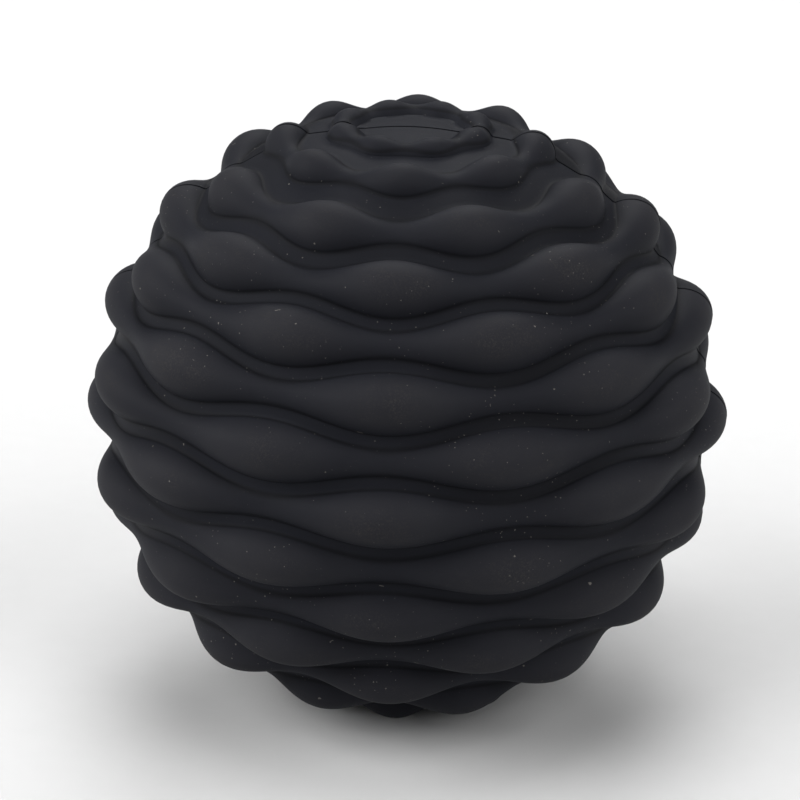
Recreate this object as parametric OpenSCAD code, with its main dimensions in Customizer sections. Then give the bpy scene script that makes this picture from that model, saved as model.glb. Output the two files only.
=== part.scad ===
// Case opening friction ball: a hollow soft-rubber ball for turning screw-on watch case backs.
// Two moulded half shells meet on the upright XZ plane. Wavy ribs run around the Z axis,
// and each rib's bulges sit over the necks of the ribs above and below it.

/* [Ball] */
// Diameter over the crests of the ribs
ball_d = 65; // [55:1:80]
// Wall thickness under the floor of the grooves
wall_t = 4; // [3:0.5:6]

/* [Ribs] */
// Number of bulges around each rib
bulge_count = 8; // [6:2:10]
// Angle from one rib to the next, in degrees of latitude
rib_pitch = 10.45; // [10.3:0.05:10.9]
// Width of the groove between two ribs, in degrees of latitude
groove_w = 2.5; // [2:0.1:3.5]
// How far a bulge widens its rib on each side, in degrees of latitude
bulge_w = 1.6; // [0.8:0.1:2]
// Height of a rib at the middle of a bulge
bulge_h = 2.5; // [1.5:0.1:3]
// Height of a rib at its narrow necks
neck_h = 0.6; // [0.4:0.1:1.4]
// Fullness of a rib's cross-section: 1 is a parabola, 2 is an ellipse
rib_fullness = 1.4; // [1:0.05:2]

/* [Upper ribs] */
// How much further off each rib past the fourth stands than the one before, in degrees
rib_spread = 1.05; // [0:0.01:1.2]
// How much lower each rib past the fourth is, as a share of the full height
rib_fade = 0.15; // [0:0.01:0.2]
// Width of the rib next to the crown rib, as a share of the ordinary width
shoulder_w = 0.77; // [0.6:0.01:1]

/* [Crown ribs] */
// Latitude of the small rib around each pole
crown_lat = 77; // [75.5:0.1:78]
// Half width of the crown rib, in degrees of latitude
crown_half_w = 3; // [2.4:0.1:4]
// How far a bulge widens the crown rib on each side, in degrees of latitude
crown_bulge_w = 0.5; // [0.2:0.1:1]
// Height of the crown rib at the middle of a bulge
crown_bulge_h = 1.5; // [1:0.05:2]
// Height of the crown rib at its necks
crown_neck_h = 0.95; // [0.3:0.05:1.2]
// How far the ball's surface dips at each pole, inside the crown rib
pole_dip = 0.7; // [0:0.05:1.2]

/* [Inside] */
// Thickness of the cement film between the half shells
film_t = 0.1; // [0.08:0.02:0.3]
// Depth of the cement below the outer surface
film_recess = 0.3; // [0.2:0.05:0.5]
// Thickness of the self-sealing plug at its middle
plug_t = 2.6; // [1.5:0.1:4]

/* [Hidden] */
side_ribs = 7;                      // ribs above and below the middle one
full_ribs = 4;                      // of these, the ribs of full height
steps = 4;                          // columns from a bulge to the neck beside it
crest_r = ball_d / 2;
base_r = crest_r - bulge_h;         // floor of the grooves
pole_r = base_r - pole_dip;
dip_lats = [68, 80];                // latitudes where the dip at a pole begins and is full
inner_r = base_r - wall_t;
shares = [-1, -0.8, -0.45, 0, 0.45, 0.8, 1];   // rows across a rib, from edge to edge
rows_per_rib = len(shares);
cap_lat = 85.5;                     // one more row on the bare disc at each pole
plug_rows = [0, 4, 8, 12];          // degrees from the Y axis
wall_rows = [20, 30, 40, 50, 60, 70, 80, 90];
dome_rows = concat(plug_rows, wall_rows);

// A point at a latitude, a longitude measured from -Y towards +X, and a radius
function on_ball(lat, lon, r) = r * [cos(lat) * sin(lon), -cos(lat) * cos(lon), sin(lat)];

// +1 at the middle of a bulge and -1 at a neck; neighbouring ribs are half a wave apart
function wave(rib, lon) = cos(bulge_count * lon - 180 * rib);

function is_crown(rib) = abs(rib) == side_ribs;
function is_shoulder(rib) = abs(rib) == side_ribs - 1;
// How many ribs past the last one of full height
function beyond(rib) = max(0, abs(rib) - full_ribs);
function rib_lat(rib) = is_crown(rib)
    ? sign(rib) * crown_lat
    : rib * rib_pitch + sign(rib) * rib_spread * beyond(rib) * (beyond(rib) + 1) / 2;
function rib_half_w(rib, lon) = is_crown(rib)
    ? crown_half_w + crown_bulge_w * wave(rib, lon)
    : (is_shoulder(rib) ? shoulder_w : 1) * ((rib_pitch - groove_w) / 2 + bulge_w * wave(rib, lon));
// Height half way between two values, swinging up to the bulge's and down to the neck's
function swing(bulge, neck, rib, lon) = (bulge + neck + (bulge - neck) * wave(rib, lon)) / 2;
function rib_h(rib, lon) = is_crown(rib)
    ? swing(crown_bulge_h, crown_neck_h, rib, lon)
    : (1 - rib_fade * beyond(rib)) * swing(bulge_h, neck_h, rib, lon);

// Radius of the grooves' floor, which dips smoothly towards the poles
function floor_r(lat) =
    let (t = max(0, min(1, (abs(lat) - dip_lats[0]) / (dip_lats[1] - dip_lats[0]))))
    base_r - pole_dip * t * t * (3 - 2 * t);

// One point of a rib's surface; share runs from -1 at its lower edge to 1 at its upper edge
function rib_point(rib, share, lon) =
    let (lat = rib_lat(rib) + share * rib_half_w(rib, lon))
    on_ball(lat, lon, floor_r(lat) + rib_h(rib, lon) * pow(1 - share * share, 1 / rib_fullness));

// The outer surface from pole to pole along one longitude, without the two pole points
function outer_column(lon) = concat(
    [on_ball(-cap_lat, lon, pole_r)],
    [for (rib = [-side_ribs : side_ribs], share = shares) rib_point(rib, share, lon)],
    [on_ball(cap_lat, lon, pole_r)]);

// Latitudes of the rim's inner corners: one level with each rib
rim_lats = concat([-90], [for (rib = [-side_ribs : side_ribs]) rib_lat(rib)], [90]);
// The same corners all the way around the rim, up the +X side and down the -X side
rim_angles = concat(rim_lats, [for (k = [len(rim_lats) - 2 : -1 : 1]) 180 - rim_lats[k]]);
corners = len(rim_angles);

// A ring of points on the inside of the front half, at an angle from the -Y axis
function dome_ring(angle, r) = [for (a = rim_angles)
    r * [sin(angle) * cos(a), -cos(angle), sin(angle) * sin(a)]];

// The rim's outer outline, in the same order: up the +X side and down the -X side
right_profile = outer_column(90);
left_profile = outer_column(-90);
rows = len(right_profile);
rim_outline = concat(
    [on_ball(-90, 90, pole_r)], right_profile,
    [on_ball(90, 90, pole_r)], [for (k = [rows - 1 : -1 : 0]) left_profile[k]]);

// Flat x, z outline of the rim's outer edge, moved inwards by an offset
function flat_outline(inset) = [for (p = rim_outline)
    let (q = [p[0], p[2]]) q * (1 - inset / norm(q))];

// Two triangles between point a, b of one row and c, d of the next
function quad(a, b, c, d) = [[a, b, d], [a, d, c]];

module half_shell() {
    columns = bulge_count * steps;
    outer = [for (k = [0 : columns]) outer_column(-90 + 180 * k / columns)];
    outer_count = (columns + 1) * rows;
    south = outer_count;
    north = outer_count + 1;
    dome_start = outer_count + 2;
    dome = len(dome_rows);
    tip = dome_start + (dome - 1) * corners;
    points = concat(
        [for (column = outer) for (p = column) p],
        [on_ball(-90, 0, pole_r), on_ball(90, 0, pole_r)],
        [for (k = [1 : dome - 1]) for (p = dome_ring(dome_rows[k], inner_r)) p],
        [[0, -inner_r, 0]]);
    function out(column, row) = column * rows + row;
    function inn(ring, corner) = dome_start + (ring - 1) * corners + corner % corners;

    outside = [for (k = [0 : columns - 1], row = [0 : rows - 2])
        each quad(out(k, row), out(k, row + 1), out(k + 1, row), out(k + 1, row + 1))];
    poles = [for (k = [0 : columns - 1])
        each [[south, out(k, 0), out(k + 1, 0)], [out(k, rows - 1), north, out(k + 1, rows - 1)]]];
    inside = [for (ring = [1 : dome - 2], corner = [0 : corners - 1])
        each quad(inn(ring, corner + 1), inn(ring, corner), inn(ring + 1, corner + 1), inn(ring + 1, corner))];
    inside_tip = [for (corner = [0 : corners - 1]) [inn(1, corner), inn(1, corner + 1), tip]];

    // The flat rim, a strip between the outer outline and the inner corners
    outline = concat(
        [south], [for (row = [0 : rows - 1]) out(columns, row)],
        [north], [for (row = [rows - 1 : -1 : 0]) out(0, row)]);
    half_share = floor(rows_per_rib / 2);
    // Position along the outline of the point level with each inner corner
    level = concat(
        [0], [for (rib = [0 : 2 * side_ribs]) 2 + half_share + rib * rows_per_rib],
        [rows + 1], [for (rib = [0 : 2 * side_ribs]) rows + 3 + half_share + rib * rows_per_rib],
        [2 * rows + 2]);
    rim = [for (corner = [0 : corners - 1]) each concat(
        [for (k = [level[corner] : level[corner + 1] - 1])
            [outline[k % len(outline)], outline[(k + 1) % len(outline)], inn(dome - 1, corner)]],
        [[outline[level[corner + 1] % len(outline)], inn(dome - 1, corner + 1), inn(dome - 1, corner)]])];

    polyhedron(points, concat(outside, poles, inside, inside_tip, rim), convexity = 10);
}

module front_half_shell() {
    color("#2b2c30") translate([0, -film_t / 2, 0]) half_shell();
}

module rear_half_shell() {
    color("#2a2b2f") translate([0, film_t / 2, 0]) rotate([0, 0, 180]) half_shell();
}

// Film of rubber cement between the two rims
module seam_cement() {
    color("#141416")
        rotate([90, 0, 0])
            linear_extrude(film_t, center = true)
                difference() {
                    polygon(flat_outline(film_recess));
                    polygon([for (a = rim_angles) inner_r * [cos(a), sin(a)]]);
                }
}

// Soft gum button on the inside of the rear wall; an inflation needle passes through it
module inflation_plug() {
    last = len(plug_rows) - 1;
    edge = plug_rows[last];
    back = [for (k = [1 : last]) for (p = dome_ring(plug_rows[k], inner_r)) p];
    face = [for (k = [1 : last - 1])
        for (p = dome_ring(plug_rows[k], inner_r - plug_t * (1 - pow(plug_rows[k] / edge, 2)))) p];
    back_tip = len(back) + len(face);
    face_tip = back_tip + 1;
    points = concat(back, face, [[0, -inner_r, 0], [0, plug_t - inner_r, 0]]);
    function b(ring, corner) = (ring - 1) * corners + corner % corners;
    function f(ring, corner) = ring == last ? b(ring, corner) : len(back) + (ring - 1) * corners + corner % corners;
    faces = concat(
        [for (ring = [1 : last - 1], c = [0 : corners - 1])
            each quad(b(ring, c), b(ring, c + 1), b(ring + 1, c), b(ring + 1, c + 1))],
        [for (ring = [1 : last - 1], c = [0 : corners - 1])
            each quad(f(ring, c + 1), f(ring, c), f(ring + 1, c + 1), f(ring + 1, c))],
        [for (c = [0 : corners - 1]) [b(1, c + 1), b(1, c), back_tip]],
        [for (c = [0 : corners - 1]) [f(1, c), f(1, c + 1), face_tip]]);
    color("#4a3a2c") translate([0, film_t / 2, 0]) rotate([0, 0, 180]) polyhedron(points, faces);
}

front_half_shell();
rear_half_shell();
seam_cement();
inflation_plug();
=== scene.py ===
"""Case opening friction ball: its ribbed rubber half shells, modelled finely around the CAD frame."""
from math import cos, radians, sin

import bpy
import numpy as np
from mathutils import Matrix, Vector


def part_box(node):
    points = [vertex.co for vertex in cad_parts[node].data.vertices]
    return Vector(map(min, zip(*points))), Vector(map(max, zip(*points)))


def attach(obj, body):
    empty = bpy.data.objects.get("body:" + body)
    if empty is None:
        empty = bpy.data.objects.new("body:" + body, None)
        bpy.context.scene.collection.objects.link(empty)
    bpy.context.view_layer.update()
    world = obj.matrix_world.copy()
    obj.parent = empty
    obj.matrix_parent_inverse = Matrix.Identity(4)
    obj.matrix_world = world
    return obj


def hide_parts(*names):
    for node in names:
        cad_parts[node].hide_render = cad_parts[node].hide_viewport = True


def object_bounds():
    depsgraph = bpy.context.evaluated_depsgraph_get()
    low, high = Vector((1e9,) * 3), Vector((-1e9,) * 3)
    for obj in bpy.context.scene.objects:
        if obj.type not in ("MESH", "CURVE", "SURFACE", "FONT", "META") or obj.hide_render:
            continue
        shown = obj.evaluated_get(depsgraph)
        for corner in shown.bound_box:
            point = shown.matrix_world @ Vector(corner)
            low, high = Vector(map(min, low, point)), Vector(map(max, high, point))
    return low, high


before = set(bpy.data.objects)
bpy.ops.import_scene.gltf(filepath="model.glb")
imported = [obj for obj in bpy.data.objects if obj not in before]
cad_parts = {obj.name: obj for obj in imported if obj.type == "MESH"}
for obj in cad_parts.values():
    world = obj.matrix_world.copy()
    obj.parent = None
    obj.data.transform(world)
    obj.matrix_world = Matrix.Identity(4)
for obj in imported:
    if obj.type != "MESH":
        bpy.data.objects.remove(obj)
cad_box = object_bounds()

MM = 0.001

# ---- Sizes of the ball, in millimetres and degrees, as in the CAD part ----------------------------
front_low, front_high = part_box("front_half_shell")
rear_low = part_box("rear_half_shell")[0]
CREST_R = (front_high.x - front_low.x) / 2 / MM
FILM = (rear_low.y - front_high.y) / MM
WALL = 4.0
BULGES = 8
PITCH = 10.45
GROOVE = 2.5
BULGE_W = 1.6
BULGE_H = 2.5
NECK_H = 0.6
FULLNESS = 1.4
SIDE_RIBS = 7
FULL_RIBS = 4
SPREAD = 1.05
FADE = 0.15
SHOULDER_W = 0.77
CROWN_LAT = 77.0
CROWN_HALF_W = 3.0
CROWN_BULGE_W = 0.5
CROWN_BULGE_H = 1.5
CROWN_NECK_H = 0.95
POLE_DIP = 0.7
DIP_START = 68.0
DIP_END = 80.0
BASE_R = CREST_R - BULGE_H
INNER_R = BASE_R - WALL

# ---- Fine detail that only shows here, in millimetres ----------------------------------------------
CREASE = 0.60                   # blend between a rib's flank and the groove's floor
FLOOR_RISE = 0.02               # how far the middle of a groove's floor is crowned
SEAM_ROUND = 0.05               # rounding of each half shell's outer edge at the seam
SEAM_STEP = (0.05, 0.0, 0.07)   # how far the rear half sits out of line with the front one
WARP = 0.05                     # slow unevenness of the soft moulding
FLANK_SLOPE = 2.0               # how steeply a rib's formula falls on below the floor beside it
SEAM_SHADE_SPAN = (-0.03, 0.02)           # where the painted shade of the seam's gap ends, from full to none, off the film's face

# ---- Spacing of the mesh's points: shares of a rib or a groove, and degrees ------------------------
RIB_SHARES = np.sin(np.radians(np.linspace(-90, 90, 23)))
GROOVE_SHARES = (0.12, 0.3, 0.5, 0.7, 0.88)
CAP_STEPS = (0.08, 0.2, 0.4, 0.7, 1.1, 1.8, 2.8, 4.0, 5.4, 6.8, 8.0, 9.0)    # from a pole to its crown rib
EDGE_STEPS = np.array([0, 0.02, 0.05, 0.09, 0.13, 0.18, 0.26, 0.4, 0.6, 0.9, 1.3, 1.8])    # from the seam
MIDDLE_LON = 87.5
MIDDLE_COLUMNS = 281
INNER_COLUMNS = 25
SHARP_ANGLE = 55


def wave(rib, lon):
    """+1 at the middle of a bulge, -1 at a neck; neighbouring ribs are half a wave apart."""
    return np.cos(np.radians(BULGES * lon - 180.0 * rib))


def beyond(rib):
    """How many ribs past the last one of full height."""
    return max(0, abs(rib) - FULL_RIBS)


def rib_lat(rib):
    """Latitude of a rib's middle line; upper ribs stand wider apart and the crown rib has its own place."""
    if abs(rib) == SIDE_RIBS:
        return np.sign(rib) * CROWN_LAT
    return rib * PITCH + np.sign(rib) * SPREAD * beyond(rib) * (beyond(rib) + 1) / 2


def rib_half_width(rib, lon):
    """Half of a rib's width in degrees of latitude: wide at bulges, narrow at necks."""
    if abs(rib) == SIDE_RIBS:
        return CROWN_HALF_W + CROWN_BULGE_W * wave(rib, lon)
    share = SHOULDER_W if abs(rib) == SIDE_RIBS - 1 else 1.0
    return share * ((PITCH - GROOVE) / 2 + BULGE_W * wave(rib, lon))


def rib_crest(rib, lon):
    """Height of a rib's crest above the floor in millimetres: high at bulges, low at necks."""
    if abs(rib) == SIDE_RIBS:
        bulge, neck = CROWN_BULGE_H, CROWN_NECK_H
    else:
        bulge, neck = ((1 - FADE * beyond(rib)) * h for h in (BULGE_H, NECK_H))
    return (bulge + neck + (bulge - neck) * wave(rib, lon)) / 2


def smooth_max(a, b, blend):
    """The larger of two heights, with a rounded change-over."""
    return np.maximum(a, b) + np.maximum(blend - np.abs(a - b), 0.0) ** 2 / (4 * blend)


def floor_radius(lat):
    """Radius of the grooves' floor, which dips smoothly towards the poles."""
    t = np.clip((np.abs(lat) - DIP_START) / (DIP_END - DIP_START), 0, 1)
    return BASE_R - POLE_DIP * t * t * (3 - 2 * t)


def outer_radius(lat, lon):
    """Radius of the ribbed surface in millimetres, before the seam's rounding."""
    height = np.full(lat.shape, -1.0)
    beside = np.full(lat.shape, 90.0)
    for rib in range(-SIDE_RIBS, SIDE_RIBS + 1):
        half = rib_half_width(rib, lon)
        crest = rib_crest(rib, lon)
        share = np.abs(lat - rib_lat(rib)) / half
        inside = crest * np.power(np.clip(1 - share ** 2, 0, 1), 1 / FULLNESS)
        outside = -FLANK_SLOPE * crest * (share - 1)
        height = np.maximum(height, np.where(share < 1, inside, outside))
        beside = np.minimum(beside, np.maximum(share - 1, 0) * half)
    across = np.clip(beside / (GROOVE / 2), 0, 1)
    floor = FLOOR_RISE * (1 - (1 - across) ** 2)
    return floor_radius(lat) + smooth_max(height, floor, CREASE)


def warp(points):
    """A slow, smooth unevenness made of a few fixed waves, in millimetres."""
    x, y, z = (points[..., k] / CREST_R for k in range(3))
    return WARP * (np.sin(2.3 * x + 1.1 * y + 0.4) * np.sin(1.7 * z - 2.1 * x + 1.3)
                   + 0.6 * np.sin(5.1 * y + 3.3 * z + 2.0) * np.sin(4.3 * x - 2.9 * y))


def seam_drop(distance):
    """How far the surface falls away within SEAM_ROUND of the seam plane, as a quarter circle."""
    inside = np.clip(1 - distance / SEAM_ROUND, 0, 1)
    return SEAM_ROUND * (1 - np.sqrt(1 - inside ** 2))


def row_latitudes(lon):
    """Latitudes of the mesh rows along each longitude: dense at the edges of ribs, which they follow."""
    south = [np.full(lon.shape, step - 90) for step in CAP_STEPS]
    ribs = []
    for rib in range(-SIDE_RIBS, SIDE_RIBS + 1):
        half = rib_half_width(rib, lon)
        ribs += [rib_lat(rib) + share * half for share in RIB_SHARES]
        if rib < SIDE_RIBS:
            low = rib_lat(rib) + half
            high = rib_lat(rib + 1) - rib_half_width(rib + 1, lon)
            ribs += [low + share * (high - low) for share in GROOVE_SHARES]
    north = [np.full(lon.shape, 90 - step) for step in reversed(CAP_STEPS)]
    return np.array(south + ribs + north)


def on_ball(lat, lon, radius):
    """Points at latitudes and longitudes in degrees; longitude 0 faces -Y."""
    lat, lon = np.radians(lat), np.radians(lon)
    return radius[..., None] * np.stack(
        [np.cos(lat) * np.sin(lon), -np.cos(lat) * np.cos(lon), np.sin(lat)], axis=-1)


def grid_faces(rows, columns, start, flip):
    """Quads of a grid of points numbered row by row, and fans to the two pole points that follow it."""
    index = start + np.arange(rows * columns).reshape(rows, columns)
    a, b, c, d = index[:-1, :-1], index[:-1, 1:], index[1:, 1:], index[1:, :-1]
    quads = np.stack([a, b, c, d], axis=-1).reshape(-1, 4)
    south, north = start + rows * columns, start + rows * columns + 1
    fans = [(south, int(q), int(p)) for p, q in zip(index[0, :-1], index[0, 1:])]
    fans += [(north, int(p), int(q)) for p, q in zip(index[-1, :-1], index[-1, 1:])]
    faces = [tuple(int(v) for v in q) for q in quads] + fans
    return [f[::-1] for f in faces] if flip else faces


def edge_loop(rows, columns, column, start):
    """Point numbers up one column of such a grid, from its south pole point to its north one."""
    south = start + rows * columns
    return [south] + [start + row * columns + column for row in range(rows)] + [south + 1]


def shell_faces(rows, outer_columns, inner_columns):
    """Faces of a half shell: its outside, its inside, and the rims that join them at the seam."""
    inner_start = rows * outer_columns + 2
    faces = grid_faces(rows, outer_columns, 0, False)
    faces += grid_faces(rows, inner_columns, inner_start, True)
    for outer_column, inner_column in ((0, 0), (outer_columns - 1, inner_columns - 1)):
        out = edge_loop(rows, outer_columns, outer_column, 0)
        inn = edge_loop(rows, inner_columns, inner_column, inner_start)
        rim = list(zip(out[:-1], out[1:], inn[1:], inn[:-1]))
        faces += [face[::-1] for face in rim] if outer_column else rim
    return faces


def half_shell(name, turned, shift):
    """One closed half shell: ribbed outside, rounded edge at the seam, flat rim, round inside."""
    half_turn = np.array([-1, -1, 1]) if turned else np.array([1, 1, 1])
    middle = np.linspace(-MIDDLE_LON, MIDDLE_LON, MIDDLE_COLUMNS)
    lon = np.concatenate([-90 + EDGE_STEPS, middle, 90 - EDGE_STEPS[::-1]])
    lat = row_latitudes(lon)
    lon = np.broadcast_to(lon, lat.shape)
    unit = on_ball(lat, lon, np.ones(lat.shape))
    radius = outer_radius(lat, lon + (180 if turned else 0)) + warp(unit * CREST_R * half_turn)
    radius = radius - seam_drop(np.abs(unit[..., 1]) * radius)
    outer = unit * radius[..., None]
    pole_r = BASE_R - POLE_DIP + FLOOR_RISE - SEAM_ROUND

    inner_lat = np.repeat(lat[:, :1], INNER_COLUMNS, axis=1)
    inner_lon = np.broadcast_to(np.linspace(-90, 90, INNER_COLUMNS), inner_lat.shape)
    inner = on_ball(inner_lat, inner_lon, np.full(inner_lat.shape, INNER_R))

    poles = np.array([[0, 0, -1], [0, 0, 1]])
    points = np.concatenate([outer.reshape(-1, 3), poles * pole_r, inner.reshape(-1, 3), poles * INNER_R])
    points = (points - np.array([0, FILM / 2, 0])) * half_turn
    points = (points + np.array(shift)) * MM
    mesh = bpy.data.meshes.new(name)
    mesh.from_pydata(points.tolist(), [], shell_faces(*lat.shape, INNER_COLUMNS))
    mesh.validate()
    mesh.shade_smooth()
    mesh.set_sharp_from_angle(angle=radians(SHARP_ANGLE))
    piece = bpy.data.objects.new(name, mesh)
    bpy.context.scene.collection.objects.link(piece)
    return piece


# ---- Materials ---------------------------------------------------------------------------------------
class Nodes:
    """Short calls for building one material's node tree."""

    def __init__(self, name):
        self.material = bpy.data.materials.new(name)
        self.material.use_nodes = True
        self.tree = self.material.node_tree
        self.tree.nodes.clear()
        self.shader = self.add("ShaderNodeBsdfPrincipled")
        output = self.add("ShaderNodeOutputMaterial")
        self.link(self.shader.outputs["BSDF"], output.inputs["Surface"])
        self.coords = self.add("ShaderNodeTexCoord").outputs["Object"]

    def add(self, kind, **settings):
        node = self.tree.nodes.new(kind)
        for key, value in settings.items():
            setattr(node, key, value)
        return node

    def link(self, source, target):
        self.tree.links.new(source, target)

    def noise(self, size, detail=3.0, roughness=0.5):
        """Noise whose features are about size millimetres across."""
        node = self.add("ShaderNodeTexNoise")
        node.inputs["Scale"].default_value = 1 / (size * MM)
        node.inputs["Detail"].default_value = detail
        node.inputs["Roughness"].default_value = roughness
        self.link(self.coords, node.inputs["Vector"])
        return node.outputs["Fac"]

    def math(self, operation, a, b=None):
        node = self.add("ShaderNodeMath", operation=operation)
        for socket, value in zip(node.inputs, (a, b)):
            if isinstance(value, (int, float)):
                socket.default_value = value
            elif value is not None:
                self.link(value, socket)
        return node.outputs[0]

    def remap(self, value, low, high, to_low=0.0, to_high=1.0, smooth=True):
        node = self.add("ShaderNodeMapRange", interpolation_type="SMOOTHSTEP" if smooth else "LINEAR")
        for key, number in zip(("From Min", "From Max", "To Min", "To Max"), (low, high, to_low, to_high)):
            node.inputs[key].default_value = number
        self.link(value, node.inputs["Value"])
        return node.outputs["Result"]

    def mix(self, factor, a, b):
        node = self.add("ShaderNodeMix", data_type="RGBA")
        self.link(factor, node.inputs["Factor"])
        for socket, value in zip((node.inputs[6], node.inputs[7]), (a, b)):
            if isinstance(value, tuple):
                socket.default_value = (*value, 1.0)
            else:
                self.link(value, socket)
        return node.outputs[2]

    def set(self, **values):
        for key, value in values.items():
            self.shader.inputs[key.replace("_", " ")].default_value = value

    def bump(self, height, depth, previous=None):
        """A bump of depth millimetres."""
        node = self.add("ShaderNodeBump")
        node.inputs["Strength"].default_value = 1.0
        node.inputs["Distance"].default_value = depth * MM
        self.link(height, node.inputs["Height"])
        if previous is not None:
            self.link(previous, node.inputs["Normal"])
        return node.outputs["Normal"]


def specks(n, cell, radius, share, stretch=(1.0, 1.0, 1.0), turn=(0.0, 0.0, 0.0)):
    """Scattered ragged dust: in a share of cells of a size in millimetres, a speck of a radius."""
    ragged = n.add("ShaderNodeVectorMath", operation="MULTIPLY_ADD")
    cloud = n.add("ShaderNodeTexNoise")
    cloud.inputs["Scale"].default_value = 1 / (1.6 * radius * MM)
    n.link(n.coords, cloud.inputs["Vector"])
    n.link(cloud.outputs["Color"], ragged.inputs[0])
    ragged.inputs[1].default_value = (1.6 * radius * MM,) * 3
    n.link(n.coords, ragged.inputs[2])
    mapping = n.add("ShaderNodeMapping")
    mapping.inputs["Scale"].default_value = stretch
    mapping.inputs["Rotation"].default_value = turn
    n.link(ragged.outputs["Vector"], mapping.inputs["Vector"])
    voronoi = n.add("ShaderNodeTexVoronoi")
    voronoi.inputs["Scale"].default_value = 1 / (cell * MM)
    n.link(mapping.outputs["Vector"], voronoi.inputs["Vector"])
    split = n.add("ShaderNodeSeparateColor")
    n.link(voronoi.outputs["Color"], split.inputs["Color"])
    size = n.remap(split.outputs["Green"], 0, 1, 0.35 * radius / cell, radius / cell, smooth=False)
    dot = n.math("LESS_THAN", voronoi.outputs["Distance"], size)
    chosen = n.math("LESS_THAN", split.outputs["Red"], share)
    return n.math("MULTIPLY", dot, chosen)


def shell_rubber():
    """Matt blue-black rubber, frosted on the crests, with painted shade that deepens towards the grooves
    and creases, painted light towards the crests, and painted shade of the seam's gap along the seam.
    """
    n = Nodes("shell_rubber")
    length = n.add("ShaderNodeVectorMath", operation="LENGTH")
    n.link(n.coords, length.inputs[0])
    height = n.remap(length.outputs["Value"], BASE_R * MM, CREST_R * MM, smooth=False)

    mottle = n.remap(n.noise(9.0, 4.0, 0.6), 0.3, 0.7)
    # painted shade and light: each colour runs from dark at the grooves' floor to light at the crests
    plain_with_painted_shade = n.mix(height, (0.0107, 0.0114, 0.0150), (0.0182, 0.0185, 0.0222))
    bloomed_with_painted_shade = n.mix(height, (0.0121, 0.0128, 0.0165), (0.0210, 0.0212, 0.0248))
    mottled_with_painted_shade = n.mix(mottle, plain_with_painted_shade, bloomed_with_painted_shade)
    # painted shade in the creases at the foot of each rib
    crease_painted_shade = n.math("MULTIPLY", n.remap(height, 0.01, 0.05), n.remap(height, 0.09, 0.20, 1.0, 0.0))
    rubber_with_painted_shade = n.mix(n.math("MULTIPLY", crease_painted_shade, 0.6), mottled_with_painted_shade, (0.0056, 0.0057, 0.0066))

    grain = n.noise(0.19, 4.0, 0.80)
    handled = n.remap(n.noise(5.0, 4.0, 0.65), 0.40, 0.64, 0.18, 1.0)
    crest = n.remap(height, 0.45, 1.0)
    frost = n.math("MULTIPLY", n.math("MULTIPLY", handled, crest), n.remap(grain, 0.48, 0.62))
    frosted = n.mix(n.math("MULTIPLY", frost, 0.38), rubber_with_painted_shade, (0.050, 0.0468, 0.0425))

    patch = n.remap(n.noise(11.0, 3.0, 0.6), 0.45, 0.62)
    dust = n.math("MULTIPLY", specks(n, 0.45, 0.07, 0.40), patch)
    stray = specks(n, 1.1, 0.10, 0.17)
    lint = specks(n, 4.0, 0.36, 0.14, stretch=(1.0, 5.0, 3.0), turn=(0.4, 0.9, 0.3))
    dirt = n.math("MAXIMUM", n.math("MAXIMUM", dust, stray), lint)
    dusty = n.mix(n.math("MULTIPLY", dirt, 0.85), frosted, (0.14, 0.133, 0.123))

    split = n.add("ShaderNodeSeparateXYZ")
    n.link(n.coords, split.inputs["Vector"])
    off_seam = n.math("ABSOLUTE", split.outputs["Y"])
    # painted shade of the seam's gap, darkening the shells' edge beside the film
    seam_shade = n.remap(off_seam, (FILM / 2 + SEAM_SHADE_SPAN[0]) * MM, (FILM / 2 + SEAM_SHADE_SPAN[1]) * MM, 1.0, 0.0)
    n.link(n.mix(seam_shade, dusty, (0.0030, 0.0030, 0.0034)), n.shader.inputs["Base Color"])

    rough = n.remap(n.math("ADD", grain, frost), 0.3, 1.3, 0.60, 0.76)
    n.link(n.math("MAXIMUM", rough, n.math("MAXIMUM", dirt, seam_shade)), n.shader.inputs["Roughness"])
    n.set(Specular_IOR_Level=0.045, IOR=1.5, Sheen_Weight=0.003, Sheen_Roughness=0.40)
    n.shader.inputs["Sheen Tint"].default_value = (0.92, 0.95, 1.0, 1.0)

    fine = n.bump(grain, 0.012)
    pores = n.bump(n.noise(0.12, 2.0, 0.5), 0.004, fine)
    n.link(n.bump(dirt, 0.02, pores), n.shader.inputs["Normal"])
    return n.material


def cement_rubber():
    """Dull black rubber cement, slightly blotchy."""
    n = Nodes("seam_cement")
    patches = n.remap(n.noise(0.6, 4.0, 0.6), 0.3, 0.7)
    n.link(n.mix(patches, (0.006, 0.006, 0.007), (0.012, 0.012, 0.013)), n.shader.inputs["Base Color"])
    n.link(n.remap(patches, 0, 1, 0.7, 0.9), n.shader.inputs["Roughness"])
    n.link(n.bump(n.noise(0.25, 3.0, 0.5), 0.02), n.shader.inputs["Normal"])
    n.set(Specular_IOR_Level=0.25)
    return n.material


def plug_gum():
    """Soft brown gum with an uneven, slightly tacky surface."""
    n = Nodes("plug_gum")
    cloud = n.remap(n.noise(2.0, 4.0, 0.6), 0.3, 0.7)
    n.link(n.mix(cloud, (0.055, 0.034, 0.020), (0.090, 0.060, 0.036)), n.shader.inputs["Base Color"])
    n.link(n.remap(cloud, 0, 1, 0.35, 0.6), n.shader.inputs["Roughness"])
    n.link(n.bump(n.noise(0.8, 3.0, 0.5), 0.05), n.shader.inputs["Normal"])
    n.set(Specular_IOR_Level=0.5)
    return n.material


def floor_material():
    """Plain pale floor without a visible pattern."""
    n = Nodes("pale_floor")
    grain = n.noise(3.0, 3.0, 0.5)
    n.link(n.mix(grain, (0.60, 0.60, 0.60), (0.62, 0.62, 0.62)), n.shader.inputs["Base Color"])
    n.set(Roughness=0.9, Specular_IOR_Level=0.1)
    return n.material


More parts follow.
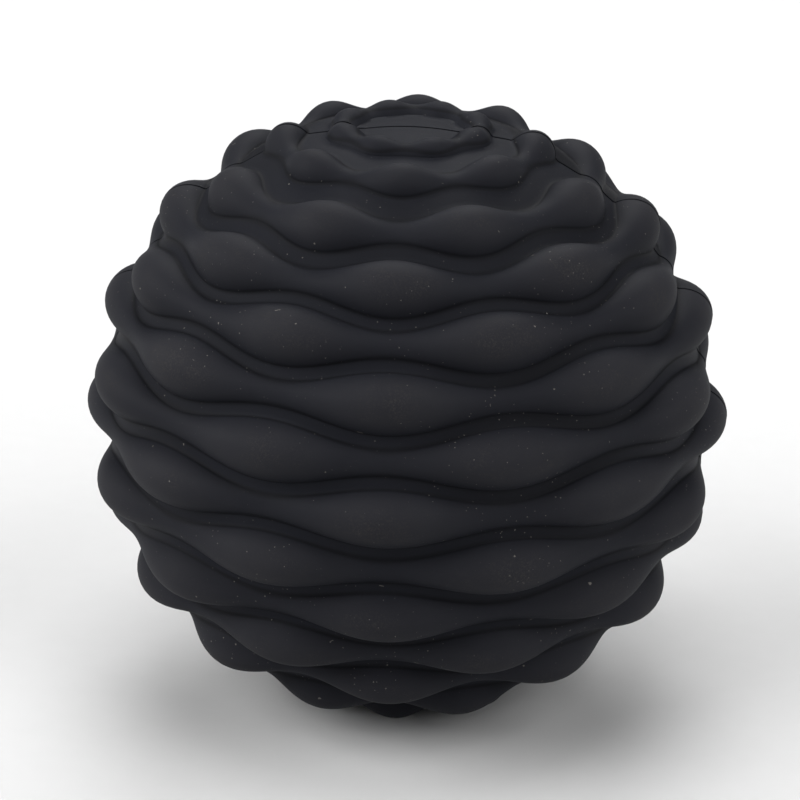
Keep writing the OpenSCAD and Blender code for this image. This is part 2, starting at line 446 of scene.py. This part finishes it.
# ---- The ball's pieces -------------------------------------------------------------------------------
rubber = shell_rubber()
no_step = (0.0, 0.0, 0.0)
for node, turned, shift in (("front_half_shell", False, no_step), ("rear_half_shell", True, SEAM_STEP)):
    shell = half_shell(node.replace("_half", "_ribbed"), turned, shift)
    shell.data.materials.append(rubber)
    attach(shell, "root")
    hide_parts(node)

for node, material in (("seam_cement", cement_rubber()), ("inflation_plug", plug_gum())):
    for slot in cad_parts[node].material_slots:
        slot.material = material

# ---- Floor, light and camera -------------------------------------------------------------------------
centre = Vector((0, 0, 0))
floor_z = cad_box[0][2]
FLOOR_FLAT_R = 2.4                      # metres
FLOOR_RIM_R = 3.2
FLOOR_RIM_HEIGHT = 0.12
WORLD_COLOUR = (0.95, 0.97, 1.0, 1.0)
WORLD_STRENGTH = 0.03
LIGHT_SPREAD = 34.0                     # degrees that each light spans, as a large softbox does
VIEW_AZIMUTH = 3.6                      # degrees from -Y towards +X
VIEW_ELEVATION = 20.9
VIEW_ROLL = 0.8
VIEW_DISTANCE = 10.2 * CREST_R * MM
VIEW_SHIFT = (-0.008, 0.006)
HALF_FRAME = 1.252 * CREST_R * MM       # half of what the frame shows, at the ball's centre
SENSOR = 36.0
CLIP_START = 0.01


def studio_floor(name, flat_radius, rim_radius, rim_height, segments=72, rim_rings=10):
    """A round floor whose far edge sweeps up, so that it is the background from every side."""
    turns = np.linspace(0, np.pi / 2, rim_rings + 1)
    rings = [(flat_radius + (rim_radius - flat_radius) * sin(t), rim_height * (1 - cos(t))) for t in turns]
    angles = np.arange(segments) * 2 * np.pi / segments
    points = [(0, 0, floor_z)] + [(r * cos(a), r * sin(a), floor_z + h) for r, h in rings for a in angles]
    faces = [(0, 1 + k, 1 + (k + 1) % segments) for k in range(segments)]
    for ring in range(rim_rings):
        inner, outer = 1 + ring * segments, 1 + (ring + 1) * segments
        for k in range(segments):
            m = (k + 1) % segments
            faces.append((inner + k, outer + k, outer + m, inner + m))
    mesh = bpy.data.meshes.new(name)
    mesh.from_pydata(points, [], faces)
    mesh.shade_smooth()
    piece = bpy.data.objects.new(name, mesh)
    bpy.context.scene.collection.objects.link(piece)
    return piece


floor = studio_floor("floor", FLOOR_FLAT_R, FLOOR_RIM_R, FLOOR_RIM_HEIGHT)
floor.data.materials.append(floor_material())

world = bpy.data.worlds.new("studio")
bpy.context.scene.world = world
world.use_nodes = True
world.node_tree.nodes["Background"].inputs["Color"].default_value = WORLD_COLOUR
world.node_tree.nodes["Background"].inputs["Strength"].default_value = WORLD_STRENGTH


def direction(azimuth, elevation):
    """Unit vector at an azimuth from -Y towards +X and an elevation, both in degrees."""
    azimuth, elevation = radians(azimuth), radians(elevation)
    return Vector((cos(elevation) * sin(azimuth), -cos(elevation) * cos(azimuth), sin(elevation)))


def soft_light(name, azimuth, elevation, strength):
    """Even soft light from one side, the same over the whole floor."""
    lamp = bpy.data.lights.new(name, "SUN")
    lamp.angle = radians(LIGHT_SPREAD)
    lamp.energy = strength
    lamp_object = bpy.data.objects.new(name, lamp)
    lamp_object.rotation_euler = direction(azimuth, elevation).to_track_quat("Z", "Y").to_euler()
    bpy.context.scene.collection.objects.link(lamp_object)


soft_light("top_light", 0, 89, 1.20)
soft_light("front_left_light", -50, 42, 1.24)
soft_light("front_right_light", 50, 42, 1.00)
soft_light("left_light", -90, 24, 2.15)
soft_light("right_light", 90, 22, 0.98)
soft_light("back_light", 180, 45, 1.72)

camera_data = bpy.data.cameras.new("camera")
camera_data.sensor_width = SENSOR
camera_data.lens = SENSOR / 2 * VIEW_DISTANCE / HALF_FRAME
camera_data.clip_start = CLIP_START
camera = bpy.data.objects.new("camera", camera_data)
camera.location = VIEW_DISTANCE * direction(VIEW_AZIMUTH, VIEW_ELEVATION)
aim = (centre - camera.location).to_track_quat("-Z", "Y").to_matrix()
camera.rotation_euler = (aim @ Matrix.Rotation(radians(VIEW_ROLL), 3, "Z")).to_euler()
camera_data.shift_x, camera_data.shift_y = VIEW_SHIFT
bpy.context.scene.collection.objects.link(camera)
bpy.context.scene.camera = camera
bpy.context.scene.view_settings.view_transform = "Standard"
